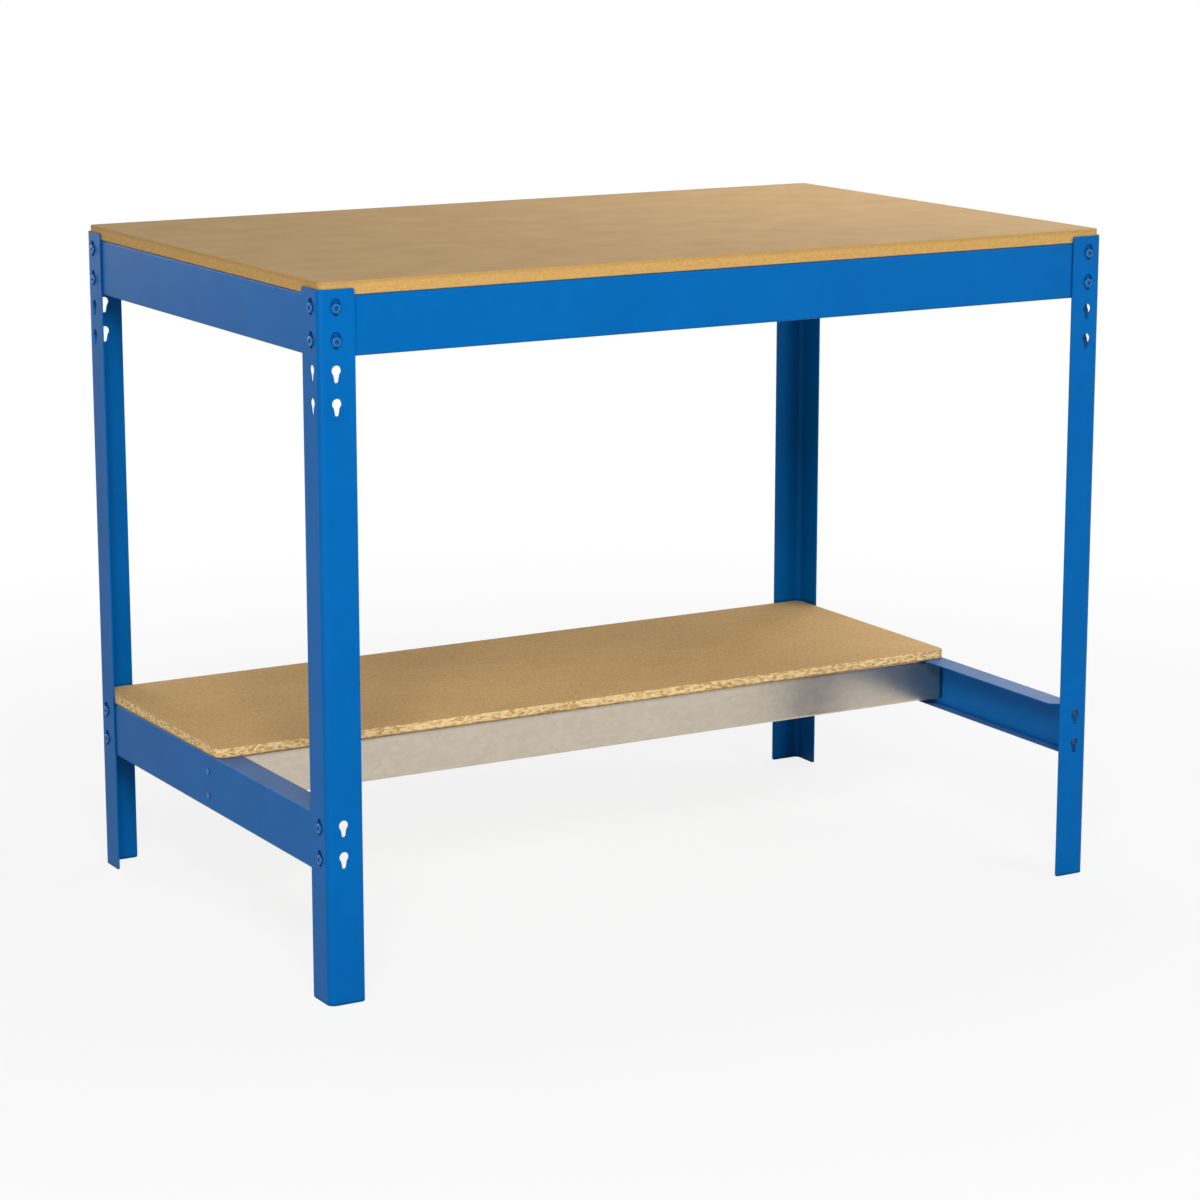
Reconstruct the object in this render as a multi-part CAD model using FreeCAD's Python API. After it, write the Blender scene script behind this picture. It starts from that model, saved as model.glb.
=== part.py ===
import FreeCAD, Part
import math
import os

from FreeCAD import Vector

# Workbench of folded steel: angle posts with keyholes, channel beams that hook in with riveted studs,
# a worktop dropped in between the post tops and a half-depth shelf on the lower beams.
# Millimetres, +X along the bench, -Y towards its front, +Z up, origin on the floor under its middle.

# Whole bench
bench_length = 1100.0
bench_depth = 690.0
worktop_height = 850.0
shelf_height = 238.0

# Boards
worktop_thickness = 16.0
worktop_corner_radius = 8.0
shelf_thickness = 12.0
shelf_depth = 370.0
shelf_corner_radius = 12.0
board_clearance = 0.8

# Posts
post_sheet = 2.0
post_flange = 45.0
post_bend_inside = 7.0
post_end_radius = 3.0
post_rise = 8.0

# Keyholes: a round entry over a slot that narrows from its neck to its foot
keyhole_round = 12.0
keyhole_neck = 8.0
keyhole_foot = 4.4
keyhole_foot_round = 1.8
keyhole_height = 20.0
keyhole_pitch = 38.0
keyhole_offset = 21.0
upper_keyhole_rows = 4
lower_keyhole_rows = 2

# Beams
beam_sheet = 1.5
beam_bend_inside = 1.5
beam_top_flange = 35.0
beam_bottom_return = 12.0
beam_end_gap = 0.5
beam_mitre_gap = 1.0

# Studs, riveted to the beam ends
studs_per_end = 2
stud_top_edge = 14.0
stud_bottom_edge = 18.0
stud_shank = 7.2
stud_slot_clearance = 0.15
stud_head_clearance = 0.2
stud_head_height = 2.2
stud_head_round = 1.5
stud_lift = 0.2
stud_hollow = 5.0
stud_hollow_depth = 2.0
stud_hollow_round = 0.6
stud_tail = 10.0
stud_tail_height = 1.2
rivet_hole_clearance = 0.1

# Stringer under the front edge of the shelf
stringer_sheet = 1.5
stringer_bend_inside = 1.5
stringer_rise = 12.0
stringer_flange = 25.0
stringer_return = 10.0
stringer_setback = 6.0
stringer_end_gap = 3.0
stringer_tab = 34.0
stringer_tab_radius = 4.0

# Rivets that hold the stringer to the lower end beams
rivet_shank = 4.8
rivet_head = 8.0
rivet_head_height = 1.4
rivet_head_round = 1.0
rivet_tail = 7.0
rivet_tail_height = 1.2
rivet_inset = 22.0
rivet_top_edge = 16.0
rivet_bottom_edge = 5.5

# Overrun of every cutter past the sheet that it cuts
cut_overrun = 5.0

# Places worked out from the sizes above
post_bend = post_bend_inside + post_sheet
beam_bend = beam_bend_inside + beam_sheet
beam_height = stud_top_edge + (studs_per_end - 1) * keyhole_pitch + stud_bottom_edge
upper_beam_top = worktop_height - worktop_thickness
lower_beam_top = shelf_height - shelf_thickness
post_height = upper_beam_top + post_rise
stud_head = keyhole_round - 2 * stud_head_clearance
board_edge = post_sheet + board_clearance
shelf_front = bench_depth / 2 - board_edge - shelf_depth
stringer_front = shelf_front + stringer_setback
stringer_height = beam_height - stringer_rise
stringer_bottom = lower_beam_top - stringer_height
stringer_tab_height = stringer_height - beam_bend - stringer_end_gap


def rounded_face(corners):
    """Flat face in the XY plane from corners (x, y, radius), each rounded by a tangent arc."""
    points = [Vector(x, y, 0) for x, y, _ in corners]
    edges = []
    leave = []
    arrive = []
    for i, (point, (_, _, radius)) in enumerate(zip(points, corners)):
        back = (points[i - 1] - point).normalize()
        ahead = (points[(i + 1) % len(points)] - point).normalize()
        half_angle = back.getAngle(ahead) / 2
        middle = (back + ahead).normalize()
        reach = radius / math.tan(half_angle)
        arrive.append(point + back * reach)
        leave.append(point + ahead * reach)
        if radius:
            crown = point + middle * (radius / math.sin(half_angle) - radius)
            edges.append(Part.Arc(arrive[i], crown, leave[i]).toShape())
    for i, start in enumerate(leave):
        edges.append(Part.LineSegment(start, arrive[(i + 1) % len(points)]).toShape())
    return Part.Face(Part.Wire(Part.__sortEdges__(edges)))


def upright_plate(corners, depth):
    """Plate from corners (x, z, radius) with its front at y = 0, that deep towards +Y."""
    face = rounded_face(corners)
    face.rotate(Vector(), Vector(1, 0, 0), 90)
    return face.extrude(Vector(0, depth, 0))


def swapped(shape):
    """Mirror image of a shape that exchanges its X and Y."""
    return shape.mirror(Vector(), Vector(1, -1, 0))


def channel(length, height, top, bottom, sheet, inside):
    """Folded channel along +X about x = 0, web at y = 0 facing -Y, flanges towards +Y, foot at z = 0."""
    bend = inside + sheet
    section = rounded_face([
        (bottom, 0, 0),
        (0, 0, bend),
        (0, height, bend),
        (top, height, 0),
        (top, height - sheet, 0),
        (sheet, height - sheet, inside),
        (sheet, sheet, inside),
        (bottom, sheet, 0),
    ])
    solid = section.extrude(Vector(0, 0, length))
    # Turns the section's X and Y to Y and Z, and its length to X
    solid.rotate(Vector(), Vector(1, 1, 1), 120)
    solid.translate(Vector(-length / 2, 0, 0))
    return solid


def drill(diameter, length, place):
    """Round cutter along +Y whose axis passes through a place at half its length."""
    start = place - Vector(0, length / 2, 0)
    return Part.makeCylinder(diameter / 2, length, start, Vector(0, 1, 0))


def moved(shape, place):
    """Copy of a shape moved to a place."""
    copy = shape.copy()
    copy.translate(place)
    return copy


def turned(shape, quarter_turns):
    """Copy of a shape turned about the Z axis, counted in right angles."""
    copy = shape.copy()
    copy.rotate(Vector(), Vector(0, 0, 1), quarter_turns * 90)
    return copy


# Posts

def neck_depth():
    """Depth of the slot's neck below the centre of the keyhole's round entry."""
    return math.sqrt(keyhole_round ** 2 - keyhole_neck ** 2) / 2


def slot_length():
    """Length of the slot from its neck to its foot."""
    return keyhole_height - keyhole_round / 2 - neck_depth()


def seat_depth():
    """Depth below the slot's neck where its sides have closed in on the shank of a stud."""
    lean = math.atan2((keyhole_neck - keyhole_foot) / 2, slot_length())
    shank = stud_shank / 2 + stud_slot_clearance
    return (keyhole_neck / 2 - shank / math.cos(lean)) / math.tan(lean)


def keyhole_cutter():
    """Keyhole through a flange that faces -Y, with the seat of the stud at the origin."""
    neck = seat_depth()
    foot = neck - slot_length()
    depth = post_sheet + 2 * cut_overrun
    slot = upright_plate([
        (-keyhole_neck / 2, neck, 0),
        (-keyhole_foot / 2, foot, keyhole_foot_round),
        (keyhole_foot / 2, foot, keyhole_foot_round),
        (keyhole_neck / 2, neck, 0),
    ], depth)
    slot.translate(Vector(0, -cut_overrun, 0))
    entry = drill(keyhole_round, depth, Vector(0, post_sheet / 2, neck + neck_depth()))
    return slot.fuse(entry)


def seat_heights(beam_top, rows):
    """Heights of the stud seats below a beam's top edge, one keyhole pitch apart."""
    return [beam_top - stud_top_edge - row * keyhole_pitch for row in range(rows)]


def post():
    """Angle post with its outer corner at the origin and its flanges along +X and +Y."""
    section = rounded_face([
        (0, 0, post_bend),
        (post_flange, 0, 0),
        (post_flange, post_sheet, 0),
        (post_sheet, post_sheet, post_bend_inside),
        (post_sheet, post_flange, 0),
        (0, post_flange, 0),
    ])
    flange = upright_plate([
        (0, 0, 0),
        (post_flange, 0, post_end_radius),
        (post_flange, post_height, post_end_radius),
        (0, post_height, 0),
    ], post_flange)
    solid = section.extrude(Vector(0, 0, post_height)).common(flange).common(swapped(flange))
    seats = seat_heights(upper_beam_top, upper_keyhole_rows)
    seats += seat_heights(lower_beam_top, lower_keyhole_rows)
    cutters = [moved(keyhole_cutter(), Vector(keyhole_offset, 0, seat)) for seat in seats]
    return solid.cut(cutters + [swapped(cutter) for cutter in cutters])


# Beams and their studs

def stud_places(span):
    """Stud seats on a beam between two posts, from the web's outer face at its foot."""
    reach = span / 2 - keyhole_offset
    heights = seat_heights(beam_height, studs_per_end)
    return [Vector(x, 0, z) for x in (-reach, reach) for z in heights]


def beam(span):
    """Channel beam for posts whose outer corners are a span apart, with mitred flange ends."""
    length = span - 2 * (post_bend + beam_end_gap)
    full = channel(
        length, beam_height, beam_top_flange, beam_bottom_return, beam_sheet, beam_bend_inside
    )
    mitre_foot = span / 2 - post_sheet - beam_mitre_gap
    mitre_tip = mitre_foot - beam_top_flange
    plan = rounded_face([
        (-mitre_foot, 0, 0),
        (mitre_foot, 0, 0),
        (mitre_tip, beam_top_flange, 0),
        (-mitre_tip, beam_top_flange, 0),
    ])
    solid = full.common(plan.extrude(Vector(0, 0, beam_height)))
    hole = stud_shank + 2 * rivet_hole_clearance
    return solid.cut([drill(hole, 2 * cut_overrun, place) for place in stud_places(span)])


def stud():
    """Hollow-headed stud along +Y, with the post's outer face at y = 0."""
    grip = post_sheet + beam_sheet
    top = -stud_lift - stud_head_height
    profile = rounded_face([
        (0, top + stud_hollow_depth, 0),
        (stud_hollow / 2, top + stud_hollow_depth, 0),
        (stud_hollow / 2, top, stud_hollow_round),
        (stud_head / 2, top, stud_head_round),
        (stud_head / 2, -stud_lift, 0),
        (stud_shank / 2, -stud_lift, 0),
        (stud_shank / 2, grip, 0),
        (stud_tail / 2, grip, 0),
        (stud_tail / 2, grip + stud_tail_height, 0),
        (0, grip + stud_tail_height, 0),
    ])
    return profile.revolve(Vector(), Vector(0, 1, 0), 360)


def beam_studs(span):
    """The studs at both ends of a beam, in the beam's own place."""
    single = moved(stud(), Vector(0, -post_sheet, 0))
    return Part.makeCompound([moved(single, place) for place in stud_places(span)])


# Stringer and its rivets

def stringer_end():
    """Right-hand end of the stringer: its web runs under the end beam's flange and folds into a tab."""
    start = bench_length / 2 - post_sheet - beam_top_flange - stringer_end_gap
    stop = bench_length / 2 - post_sheet - beam_sheet
    plan = rounded_face([
        (start, 0, 0),
        (stop, 0, stringer_bend_inside + stringer_sheet),
        (stop, stringer_tab, 0),
        (stop - stringer_sheet, stringer_tab, 0),
        (stop - stringer_sheet, stringer_sheet, stringer_bend_inside),
        (start, stringer_sheet, 0),
    ])
    tab = upright_plate([
        (0, 0, 0),
        (stringer_tab, 0, stringer_tab_radius),
        (stringer_tab, stringer_tab_height, stringer_tab_radius),
        (0, stringer_tab_height, 0),
    ], stop)
    return plan.extrude(Vector(0, 0, stringer_tab_height)).common(swapped(tab))


def rivet_places():
    """Rivet centres on the web of the right lower beam, on its outer face."""
    x = bench_length / 2 - post_sheet
    y = stringer_front + rivet_inset
    low = stringer_bottom + rivet_bottom_edge
    high = stringer_bottom + stringer_tab_height - rivet_top_edge
    return [Vector(x, y, low), Vector(x, y, high)]


def rivet_holes():
    """Cutters for the rivet holes at both ends of the bench, through the beam webs and the tabs."""
    hole = rivet_shank + 2 * rivet_hole_clearance
    right = []
    for place in rivet_places():
        start = place - Vector(beam_sheet + stringer_sheet + cut_overrun, 0, 0)
        length = beam_sheet + stringer_sheet + 2 * cut_overrun
        right.append(Part.makeCylinder(hole / 2, length, start, Vector(1, 0, 0)))
    return right + [cutter.mirror(Vector(), Vector(1, 0, 0)) for cutter in right]


def stringer():
    """Galvanised channel under the shelf's front edge, in its place in the bench."""
    run = bench_length - 2 * (post_sheet + beam_top_flange + stringer_end_gap)
    solid = channel(
        run, stringer_height, stringer_flange, stringer_return, stringer_sheet, stringer_bend_inside
    )
    right_end = stringer_end()
    left_end = right_end.mirror(Vector(), Vector(1, 0, 0))
    solid = solid.fuse([right_end, left_end]).removeSplitter()
    solid.translate(Vector(0, stringer_front, stringer_bottom))
    return solid.cut(rivet_holes())


def stringer_rivets():
    """Rivets of the stringer's right-hand end, heads on the outside of the bench."""
    grip = beam_sheet + stringer_sheet
    profile = rounded_face([
        (0, -rivet_head_height, 0),
        (rivet_head / 2, -rivet_head_height, rivet_head_round),
        (rivet_head / 2, 0, 0),
        (rivet_shank / 2, 0, 0),
        (rivet_shank / 2, grip, 0),
        (rivet_tail / 2, grip, 0),
        (rivet_tail / 2, grip + rivet_tail_height, 0),
        (0, grip + rivet_tail_height, 0),
    ])
    single = turned(profile.revolve(Vector(), Vector(0, 1, 0), 360), 1)
    return Part.makeCompound([moved(single, place) for place in rivet_places()])


# Boards

def board(depth, thickness, corner_radius, rear, bottom):
    """Board between the posts, with rounded plan corners and its rear edge at a given place."""
    half = bench_length / 2 - board_edge
    plan = rounded_face([
        (-half, rear - depth, corner_radius),
        (half, rear - depth, corner_radius),
        (half, rear, corner_radius),
        (-half, rear, corner_radius),
    ])
    solid = plan.extrude(Vector(0, 0, thickness))
    solid.translate(Vector(0, 0, bottom))
    return solid


# Assembly

nodes = {}

single_post = post()
corners = (("front_left", -1, -1), ("front_right", 1, -1), ("rear_right", 1, 1), ("rear_left", -1, 1))
for turns, (corner, x_side, y_side) in enumerate(corners):
    place = Vector(x_side * bench_length / 2, y_side * bench_depth / 2, 0)
    nodes[f"{corner}_post"] = moved(turned(single_post, turns), place)

sides = ("front", "right", "rear", "left")
levels = {"upper": (upper_beam_top, sides), "lower": (lower_beam_top, sides[1:])}
for level, (beam_top, level_sides) in levels.items():
    for side in level_sides:
        turns = sides.index(side)
        span, across = bench_length, bench_depth
        if side in ("left", "right"):
            span, across = bench_depth, bench_length
        front = Vector(0, post_sheet - across / 2, beam_top - beam_height)
        nodes[f"{level}_{side}_beam"] = turned(moved(beam(span), front), turns)
        nodes[f"{level}_{side}_studs"] = turned(moved(beam_studs(span), front), turns)

for side in ("right", "left"):
    name = f"lower_{side}_beam"
    nodes[name] = nodes[name].cut(rivet_holes())

nodes["shelf_stringer"] = stringer()
nodes["stringer_right_rivets"] = stringer_rivets()
nodes["stringer_left_rivets"] = stringer_rivets().mirror(Vector(), Vector(1, 0, 0))

inner_rear = bench_depth / 2 - board_edge
worktop_depth = bench_depth - 2 * board_edge
nodes["worktop_board"] = board(
    worktop_depth, worktop_thickness, worktop_corner_radius, inner_rear, upper_beam_top
)
nodes["shelf_board"] = board(
    shelf_depth, shelf_thickness, shelf_corner_radius, inner_rear, lower_beam_top
)

os.makedirs("parts", exist_ok=True)
for name, shape in nodes.items():
    shape.exportStep(f"parts/{name}.step")
    print(name, len(shape.Solids), round(shape.Volume), shape.isValid())
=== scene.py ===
from math import radians

import bmesh
import bpy
from mathutils import Color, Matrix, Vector


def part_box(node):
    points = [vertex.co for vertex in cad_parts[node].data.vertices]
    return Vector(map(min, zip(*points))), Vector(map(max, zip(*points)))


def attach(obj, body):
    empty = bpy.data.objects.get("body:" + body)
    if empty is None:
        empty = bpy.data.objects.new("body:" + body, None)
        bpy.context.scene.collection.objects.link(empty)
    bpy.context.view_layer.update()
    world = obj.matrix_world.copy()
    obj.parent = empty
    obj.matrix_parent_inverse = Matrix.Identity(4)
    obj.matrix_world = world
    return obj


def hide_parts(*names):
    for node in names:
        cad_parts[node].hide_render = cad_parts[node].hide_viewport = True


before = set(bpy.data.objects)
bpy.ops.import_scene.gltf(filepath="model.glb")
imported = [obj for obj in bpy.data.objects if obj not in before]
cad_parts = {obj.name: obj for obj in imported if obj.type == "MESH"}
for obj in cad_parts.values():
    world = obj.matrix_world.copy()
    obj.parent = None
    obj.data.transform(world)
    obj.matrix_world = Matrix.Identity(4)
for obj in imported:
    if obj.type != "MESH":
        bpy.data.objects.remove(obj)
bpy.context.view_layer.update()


# Posts
# Four uprights folded from 2 mm sheet steel into an angle and punched with keyholes in both flanges.
# They are powder coated blue after punching, so every cut edge is rounded over by the coat.

class Strand:
    """One value in a finish: a socket of its node tree, so that finishes are written as plain sums."""

    def __init__(self, tree, socket=None):
        self.tree = tree
        self.socket = socket

    def feed(self, node, sockets):
        """Sets values or links on a node's sockets."""
        for key, value in sockets.items():
            if isinstance(value, Strand):
                self.tree.links.new(value.socket, node.inputs[key])
            else:
                node.inputs[key].default_value = value

    def add(self, kind, settings, sockets, out=0):
        """New node of a kind, with its settings, then its sockets; gives one of its outputs."""
        node = self.tree.nodes.new(kind)
        for key, value in settings.items():
            setattr(node, key, value)
        self.feed(node, sockets)
        return Strand(self.tree, node.outputs[out])

    def sum(self, operation, first, second):
        """Two values added, subtracted or multiplied."""
        return self.add("ShaderNodeMath", {"operation": operation}, {0: first, 1: second})

    def __add__(self, other):
        return self.sum("ADD", self, other)

    __radd__ = __add__

    def __sub__(self, other):
        return self.sum("SUBTRACT", self, other)

    def __rsub__(self, other):
        return self.sum("SUBTRACT", other, self)

    def __mul__(self, other):
        return self.sum("MULTIPLY", self, other)

    __rmul__ = __mul__

    def stretched(self, x, y, z):
        """The place on the piece, with each direction scaled by itself."""
        return self.add("ShaderNodeMapping", {}, {"Vector": self, "Scale": (x, y, z)})

    def cloud(self, scale, detail):
        """Soft noise over a place, about 0.5 in the middle."""
        return self.add("ShaderNodeTexNoise", {}, {"Vector": self, "Scale": scale, "Detail": detail})

    def grains(self, scale):
        """Cells over a place, each with a random value of its own."""
        cells = self.add("ShaderNodeTexVoronoi", {}, {"Vector": self, "Scale": scale}, "Color")
        return cells.add("ShaderNodeSeparateColor", {}, {"Color": cells}, "Red")

    def step(self, low, high):
        """Smooth rise from 0 to 1 between two values."""
        return self.add(
            "ShaderNodeMapRange", {"interpolation_type": "SMOOTHSTEP"},
            {"Value": self, "From Min": low, "From Max": high},
        )

    def tint(self, first, second):
        """Colour between two others, by this value."""
        share_in, first_in, second_in, colour_out = 0, 6, 7, 2
        return self.add(
            "ShaderNodeMix", {"data_type": "RGBA"},
            {share_in: self, first_in: first, second_in: second}, colour_out,
        )

    def seam(self, reach):
        """Mask for painted shade: 0 in the open, and 1 where metal or board within a reach hides half
        of the surroundings.
        """
        half_open, open_all_round = 0.5, 1.0
        sky = self.add("ShaderNodeAmbientOcclusion", {"samples": 8}, {"Distance": reach}, "AO")
        return 1 - sky.step(half_open, open_all_round)

    def relief(self, depth):
        """Surface direction from this value as a height, whose full range is that many metres."""
        return self.add("ShaderNodeBump", {}, {"Height": self, "Distance": depth}, "Normal")


def screen(red, green, blue):
    """Colour as written for a screen, from 0 to 255, as the amounts of light that a finish takes."""
    full = 255
    light = Color((red / full, green / full, blue / full)).from_srgb_to_scene_linear()
    return (*light, 1.0)


def new_finish(name):
    """New finish, its surface shader, still plain, and the place on the piece that patterns follow."""
    material = bpy.data.materials.new(name)
    material.use_nodes = True
    surface = material.node_tree.nodes["Principled BSDF"]
    place = Strand(material.node_tree).add("ShaderNodeTexCoord", {}, {}, "Object")
    return material, surface, place


def powder_coat(name, gloss, roughness):
    """Blue coat, uneven where it pooled, with painted shade in the seams, and greyed on top by dust and
    a painted sheen.
    """
    thin_blue = screen(0, 92, 161)
    pooled_blue = screen(0, 98, 170)
    dust_and_sheen_grey = screen(130, 138, 148)
    # Dark blue of the painted shade in seams and hollows.
    painted_shade_blue = screen(0, 40, 80)
    sloping, level = 0.7, 0.98
    least_dust_and_sheen, dust_and_sheen_in_patches = 0.26, 0.14
    painted_shade_reach, painted_shade_strength = 0.006, 0.6
    orange_peel_depth = 0.00005

    material, surface, place = new_finish(name)
    pooling = place.cloud(scale=9.0, detail=3.0)
    mottle = place.cloud(scale=60.0, detail=2.0)
    coat = (0.7 * pooling + 0.3 * mottle).step(0.25, 0.75).tint(thin_blue, pooled_blue)
    facing = place.add("ShaderNodeNewGeometry", {}, {}, "Normal")
    upward = facing.add("ShaderNodeSeparateXYZ", {}, {"Vector": facing}, "Z").step(sloping, level)
    # Upward faces turn grey, partly from dust and partly as a painted sheen of light glancing off the
    # tops.
    dust = upward * (least_dust_and_sheen + dust_and_sheen_in_patches * pooling)
    coat_with_dust_and_sheen = dust.tint(coat, dust_and_sheen_grey)
    place.feed(surface, {
        # Painted shade darkens the coat in seams and hollows, where nearby metal or board keeps the
        # light out.
        "Base Color": (painted_shade_strength * place.seam(painted_shade_reach)).tint(coat_with_dust_and_sheen, painted_shade_blue),
        "Roughness": roughness + 0.1 * mottle + 0.12 * upward,
        "Specular IOR Level": gloss,
        "Normal": place.cloud(scale=750.0, detail=1.0).relief(orange_peel_depth),
    })
    return material


sharp_angle = radians(40)


def finished_piece(name, shape, finish):
    """Object made of a shape in a finish, smooth round its edges while its flat faces stay flat."""
    large_faces_lead = 100
    mesh = bpy.data.meshes.new(name)
    shape.to_mesh(mesh)
    shape.free()
    mesh.shade_smooth()
    mesh.materials.append(finish)
    piece = bpy.data.objects.new(name, mesh)
    bpy.context.scene.collection.objects.link(piece)
    normals = piece.modifiers.new("flat_faces_stay_flat", "WEIGHTED_NORMAL")
    normals.weight = large_faces_lead
    return piece


def sheet_metal(node, edge_round, finish):
    """Copy of a node with its triangles joined and its cut edges rounded, in place of the node."""
    same_place, same_plane = 1e-6, radians(0.2)
    shape = bmesh.new()
    shape.from_mesh(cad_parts[node].data)
    bmesh.ops.remove_doubles(shape, verts=shape.verts, dist=same_place)
    bmesh.ops.dissolve_limit(shape, angle_limit=same_plane, verts=shape.verts, edges=shape.edges)
    cut_edges = [edge for edge in shape.edges if edge.calc_face_angle() > sharp_angle]
    bmesh.ops.bevel(
        shape, geom=cut_edges, offset=edge_round, affect="EDGES", segments=2, profile=0.5,
        material=-1, clamp_overlap=True,
    )
    piece = finished_piece(f"coated_{node}", shape, finish)
    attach(piece, "frame")
    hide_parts(node)


blue_coat = powder_coat("blue_powder_coat", gloss=0.05, roughness=0.3)
post_edge_round = 0.0005
for corner in ("front_left", "front_right", "rear_right", "rear_left"):
    sheet_metal(f"{corner}_post", post_edge_round, blue_coat)


# Beams
# Folded channels of 1.5 mm sheet with a deep top flange that carries a board and a narrow return below.
# They have the same coat as the posts, and their flange ends are cut back to meet at the corners.

beam_edge_round = 0.0004
beam_places = [f"upper_{side}" for side in ("front", "right", "rear", "left")]
beam_places += [f"lower_{side}" for side in ("right", "rear", "left")]
for beam_place in beam_places:
    sheet_metal(f"{beam_place}_beam", beam_edge_round, blue_coat)


# Studs and rivets
# Hollow-headed steel studs riveted through the beam ends, which drop into the keyholes of the posts,
# and the small rivets that hold the stringer. They are coated with the beams, and the heads are
# rubbed glossy as they are knocked in.

rubbed_coat = powder_coat("rubbed_powder_coat", gloss=0.3, roughness=0.2)
stud_edge_round = 0.0001
for beam_place in beam_places:
    sheet_metal(f"{beam_place}_studs", stud_edge_round, rubbed_coat)
for side in ("right", "left"):
    sheet_metal(f"stringer_{side}_rivets", stud_edge_round, rubbed_coat)


# Stringer
# Channel of bare galvanised sheet across the bench, under the front edge of the shelf. Its end tabs are
# riveted to the lower beams. The zinc has dulled to a warm grey, with a faint spangle of flat crystals.

dull_zinc = screen(194, 183, 166)
bright_zinc = screen(202, 191, 174)
# Brown of the painted shade where the shelf and the beams close over the zinc.
painted_shade_brown = screen(78, 68, 52)
zinc_shade_reach, zinc_shade_strength = 0.007, 0.8
zinc_metal, zinc_roughness = 0.95, 0.25
rolled_depth = 0.00001

zinc, surface, place = new_finish("galvanised_sheet")
crystals = place.stretched(1.0, 1.0, 1.4).grains(scale=120.0)
dulling = place.stretched(1.0, 2.0, 3.0).cloud(scale=14.0, detail=3.0)
spangle = (0.35 * crystals + 0.65 * dulling).step(0.2, 0.8)
zinc_colour = spangle.tint(dull_zinc, bright_zinc)
# Painted shade darkens the zinc to brown where the shelf and the beams close over it.
place.feed(surface, {
    "Base Color": (zinc_shade_strength * place.seam(zinc_shade_reach)).tint(zinc_colour, painted_shade_brown),
    "Metallic": zinc_metal,
    "Roughness": zinc_roughness + 0.01 * crystals + 0.02 * dulling,
    "Normal": place.cloud(scale=60.0, detail=1.0).relief(rolled_depth),
})

stringer_edge_round = 0.0003
sheet_metal("shelf_stringer", stringer_edge_round, zinc)


# Worktop
# One sanded particle board, dropped in between the post tops and held by its own weight.
# Its faces are pressed smooth and tan. Its sawn edges are golden and coarser, and browner near the top.

def board(name, node, corner_round, edge_round, finish):
    """Board in place of a node, cut with rounded corners and with its edges broken."""
    low, high = (Vector(corner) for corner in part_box(node))
    size = high - low
    middle_x, middle_y = (low.x + high.x) / 2, (low.y + high.y) / 2
    shape = bmesh.new()
    bmesh.ops.create_grid(shape, x_segments=1, y_segments=1, size=0.5)
    bmesh.ops.scale(shape, verts=shape.verts, vec=(size.x, size.y, 1.0))
    bmesh.ops.translate(shape, verts=shape.verts, vec=(middle_x, middle_y, low.z))
    bmesh.ops.bevel(
        shape, geom=shape.verts[:], offset=corner_round, affect="VERTICES", segments=10, profile=0.5,
        material=-1,
    )
    raised = bmesh.ops.extrude_face_region(shape, geom=shape.faces[:])["geom"]
    raised_verts = [part for part in raised if isinstance(part, bmesh.types.BMVert)]
    bmesh.ops.translate(shape, verts=raised_verts, vec=(0, 0, size.z))
    bmesh.ops.recalc_face_normals(shape, faces=shape.faces)
    rims = [edge for edge in shape.edges if edge.calc_face_angle() > sharp_angle]
    bmesh.ops.bevel(
        shape, geom=rims, offset=edge_round, affect="EDGES", segments=3, profile=0.5, material=-1,
    )
    piece = finished_piece(name, shape, finish)
    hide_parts(node)
    return piece


def height_in_board(place, node):
    """Place's height over a board's middle: 1 at its upper face, -1 at its lower one."""
    (_, _, bottom), (_, _, top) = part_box(node)
    middle, half = (bottom + top) / 2, (top - bottom) / 2
    z = place.add("ShaderNodeSeparateXYZ", {}, {"Vector": place}, "Z")
    return (z - middle) * (1 / half)


dark_tan = screen(174, 144, 102)
pale_tan = screen(185, 154, 111)
dark_gold = screen(184, 144, 82)
pale_gold = screen(200, 160, 96)
layer_brown = screen(158, 122, 74)
layer_start, layer_full, layer_strength = 0.3, 0.75, 0.4
worktop_edge_end, worktop_face_start = 0.97, 0.996
worktop_gloss, worktop_roughness = 0.07, 0.66
worktop_grain_depth = 0.00006

worktop_finish, surface, place = new_finish("sanded_board")
height = height_in_board(place, "worktop_board")
face = (height * height).step(worktop_edge_end, worktop_face_start)
upper_layer = height.step(layer_start, layer_full)
streaks = place.stretched(3.0, 20.0, 20.0).cloud(scale=3.0, detail=4.0)
fibres = place.stretched(120.0, 360.0, 360.0).cloud(scale=1.0, detail=3.0)
smudges = place.stretched(1.0, 1.3, 1.0).cloud(scale=14.0, detail=3.0)
pressed = (0.2 * streaks + 0.25 * fibres + 0.55 * smudges).step(0.3, 0.7)
chips = place.stretched(420.0, 420.0, 900.0).grains(scale=1.0)
sawn = (0.45 * chips + 0.55 * place.cloud(scale=170.0, detail=3.0)).step(0.15, 0.85)
edge_colour = (layer_strength * upper_layer).tint(sawn.tint(dark_gold, pale_gold), layer_brown)
place.feed(surface, {
    "Base Color": face.tint(edge_colour, pressed.tint(dark_tan, pale_tan)),
    "Roughness": worktop_roughness + 0.12 * streaks,
    "Specular IOR Level": worktop_gloss,
    "Normal": (0.3 * fibres + 0.5 * (1 - face) * chips).relief(worktop_grain_depth),
})

worktop_corner_round = 0.008
worktop_edge_round = 0.0008
worktop = board("worktop", "worktop_board", worktop_corner_round, worktop_edge_round, worktop_finish)
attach(worktop, "worktop")


# Shelf
# Half-depth board of raw chipboard, laid loose on the lower beams and the stringer.
# Flat chips show through its khaki faces as soft blotches, and as pale specks along its sawn edges.
# Painted shade darkens the sawn edges towards the lower rim.

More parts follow.
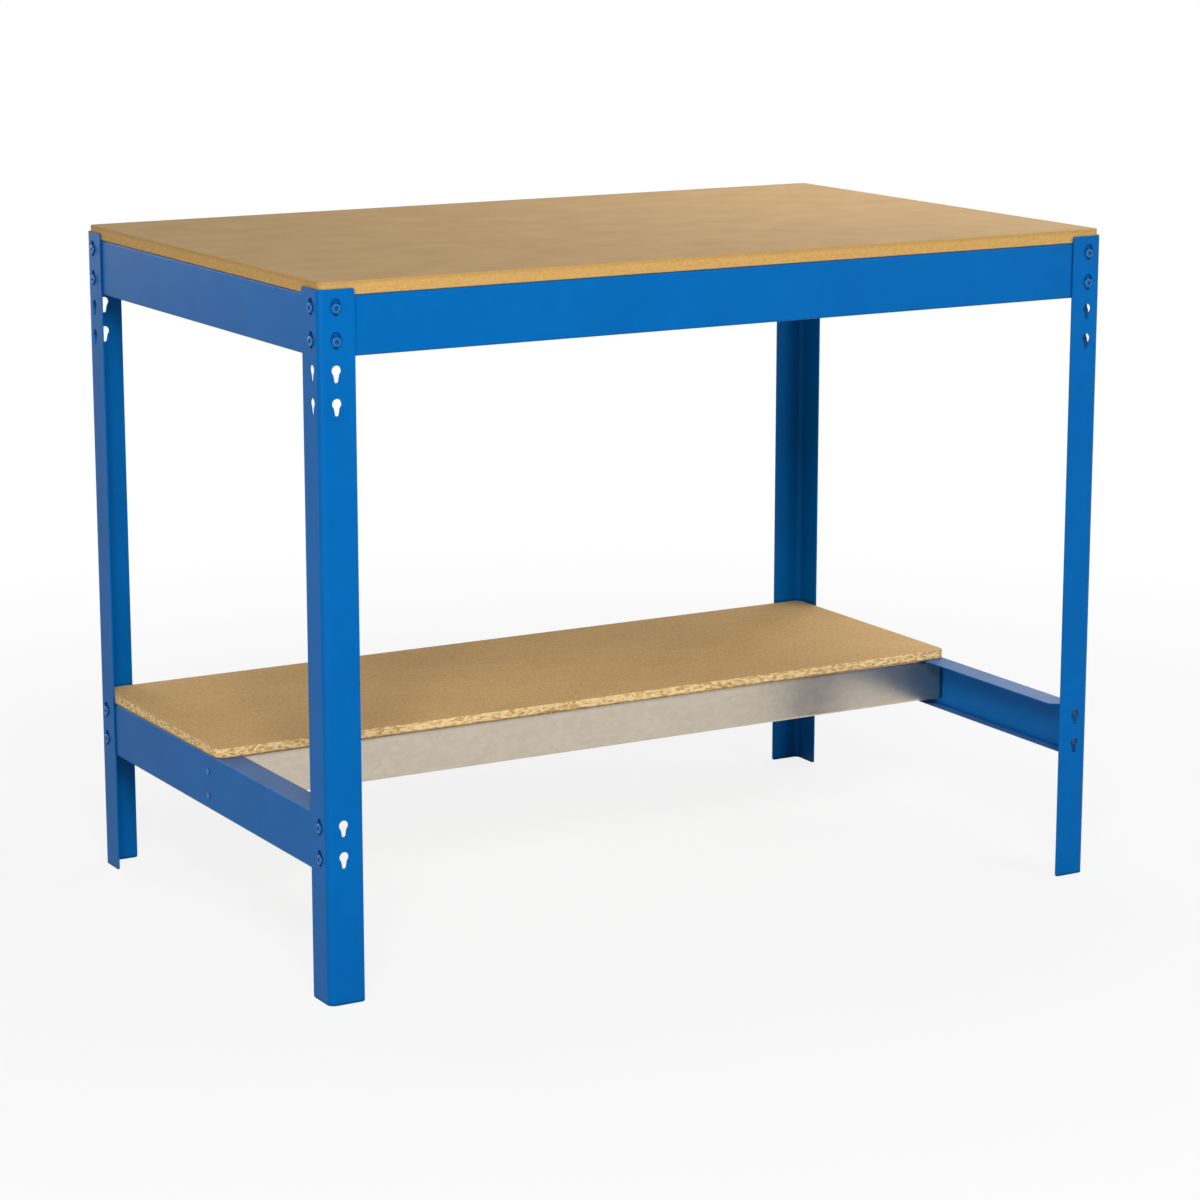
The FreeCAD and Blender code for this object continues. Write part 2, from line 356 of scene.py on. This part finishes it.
dark_khaki = screen(194, 156, 101)
pale_khaki = screen(217, 181, 125)
dark_chip = screen(178, 132, 74)
pale_chip = screen(234, 206, 152)
rim_shade_brown = screen(120, 92, 52)
rim_shade_start, rim_shade_full, rim_shade_strength = 0.55, 0.9, 0.7
shelf_edge_end, shelf_face_start = 0.95, 0.996
shelf_gloss, shelf_roughness = 0.1, 0.68
shelf_grain_depth = 0.00006

shelf_finish, surface, place = new_finish("raw_chipboard")
height = height_in_board(place, "shelf_board")
face = (height * height).step(shelf_edge_end, shelf_face_start)
shade_on_lower_rim = (0 - height).step(rim_shade_start, rim_shade_full)
blotches = place.stretched(1.0, 1.8, 1.0).cloud(scale=9.0, detail=4.0)
flakes = place.grains(scale=420.0)
dust = place.cloud(scale=330.0, detail=3.0)
pressed = (0.25 * blotches + 0.3 * flakes + 0.45 * dust).step(0.25, 0.75)
chips = place.stretched(200.0, 200.0, 520.0).grains(scale=1.0)
sawn = (0.55 * chips + 0.45 * place.cloud(scale=160.0, detail=3.0)).step(0.12, 0.72)
# Painted shade darkens the sawn edges towards the lower rim.
edge_colour = (rim_shade_strength * shade_on_lower_rim).tint(sawn.tint(dark_chip, pale_chip), rim_shade_brown)
place.feed(surface, {
    "Base Color": face.tint(edge_colour, pressed.tint(dark_khaki, pale_khaki)),
    "Roughness": shelf_roughness + 0.15 * flakes,
    "Specular IOR Level": shelf_gloss,
    "Normal": (0.4 * dust + 0.2 * flakes + 0.5 * (1 - face) * chips).relief(shelf_grain_depth),
})

shelf_corner_round = 0.012
shelf_edge_round = 0.0006
shelf = board("shelf", "shelf_board", shelf_corner_round, shelf_edge_round, shelf_finish)
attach(shelf, "shelf")


# Floor
# Pale studio floor that goes on out of sight, matt so that it only takes a soft shadow.
# Seen by the camera and in reflections it lightens to white, fully so away from the bench.

def seen_directly(start):
    """1 where the camera, a reflection or glass sees a surface, 0 for the light that it gives off."""
    camera = start.add("ShaderNodeLightPath", {}, {}, "Is Camera Ray")
    glossy = start.add("ShaderNodeLightPath", {}, {}, "Is Glossy Ray")
    transmission = start.add("ShaderNodeLightPath", {}, {}, "Is Transmission Ray")
    return (camera + glossy + transmission).step(0.0, 1.0)


pure_white = (1.0, 1.0, 1.0, 1.0)
floor_grey = (0.72, 0.72, 0.72, 1.0)
floor_gloss, floor_roughness = 0.0, 0.9
floor_radius = 80.0
shadow_radius, white_radius = 0.7, 2.4
white_under_bench, white_further_out = 0.84, 0.16

pale_floor, surface, place = new_finish("pale_floor")
place.feed(surface, {
    "Base Color": floor_grey,
    "Roughness": floor_roughness,
    "Specular IOR Level": floor_gloss,
})
distance = place.add("ShaderNodeVectorMath", {"operation": "LENGTH"}, {0: place}, "Value")
away = distance.step(shadow_radius, white_radius)
whitening = seen_directly(place) * (white_under_bench + white_further_out * away)
white = place.add("ShaderNodeEmission", {}, {"Color": pure_white, "Strength": 1.0})
lit = Strand(place.tree, surface.outputs["BSDF"])
shown = place.add("ShaderNodeMixShader", {}, {0: whitening, 1: lit, 2: white})
place.feed(place.tree.nodes["Material Output"], {"Surface": shown})

shape = bmesh.new()
bmesh.ops.create_circle(shape, cap_ends=True, segments=96, radius=floor_radius)
floor = finished_piece("floor", shape, pale_floor)


# Light
# A white room with one large soft box high at the front left and weaker ones at the front right, behind
# and at the rear right. A low strip at the left draws a line down the bends, and a small box hangs over
# the worktop's right end.

def soft_box(name, place, target, width, height, watts):
    """Rectangular area lamp that faces a target."""
    lamp = bpy.data.lights.new(name, "AREA")
    lamp.shape = "RECTANGLE"
    lamp.size = width
    lamp.size_y = height
    lamp.energy = watts
    holder = bpy.data.objects.new(name, lamp)
    holder.location = place
    holder.rotation_euler = (Vector(target) - Vector(place)).to_track_quat("-Z", "Y").to_euler()
    bpy.context.scene.collection.objects.link(holder)


ambient = 0.11
room = bpy.data.worlds.new("white_room")
bpy.context.scene.world = room
room.use_nodes = True
start = Strand(room.node_tree)
white = start.add("ShaderNodeBackground", {}, {"Color": pure_white, "Strength": 1.0})
glow = start.add("ShaderNodeBackground", {}, {"Color": pure_white, "Strength": ambient})
shown = start.add("ShaderNodeMixShader", {}, {0: seen_directly(start), 1: glow, 2: white})
start.feed(room.node_tree.nodes["World Output"], {"Surface": shown})

bench_middle = (0.0, 0.0, 0.5)
worktop_right_end = (0.6, 0.1, 0.85)
soft_box("front_left_box", (-2.1, -3.7, 3.2), bench_middle, width=1.8, height=1.8, watts=184.0)
soft_box("front_right_box", (2.6, -3.0, 1.7), bench_middle, width=1.8, height=1.8, watts=44.0)
soft_box("left_strip", (-3.4, -2.2, 0.7), bench_middle, width=0.3, height=1.3, watts=27.0)
soft_box("top_box", (0.7, 0.2, 1.8), worktop_right_end, width=0.7, height=0.7, watts=8.2)
soft_box("rear_box", (-0.8, 4.4, 1.3), bench_middle, width=2.0, height=2.0, watts=66.0)
soft_box("rear_right_box", (3.6, 2.6, 1.0), bench_middle, width=1.6, height=1.6, watts=40.0)


# Camera
# Long lens at chest height, off the front left corner of the bench.
# It is tilted down and not shifted, so the posts draw together a little towards the floor.

camera_place = (-2.2444, -3.9163, 1.3482)
degrees_down, degrees_right = 12.322, 29.954
lens = bpy.data.cameras.new("camera")
lens.sensor_width = 36.0
lens.lens = 106.164
camera = bpy.data.objects.new("camera", lens)
camera.location = camera_place
camera.rotation_euler = (radians(90 - degrees_down), 0.0, radians(-degrees_right))
bpy.context.scene.collection.objects.link(camera)
bpy.context.scene.camera = camera
bpy.context.scene.view_settings.view_transform = "Standard"
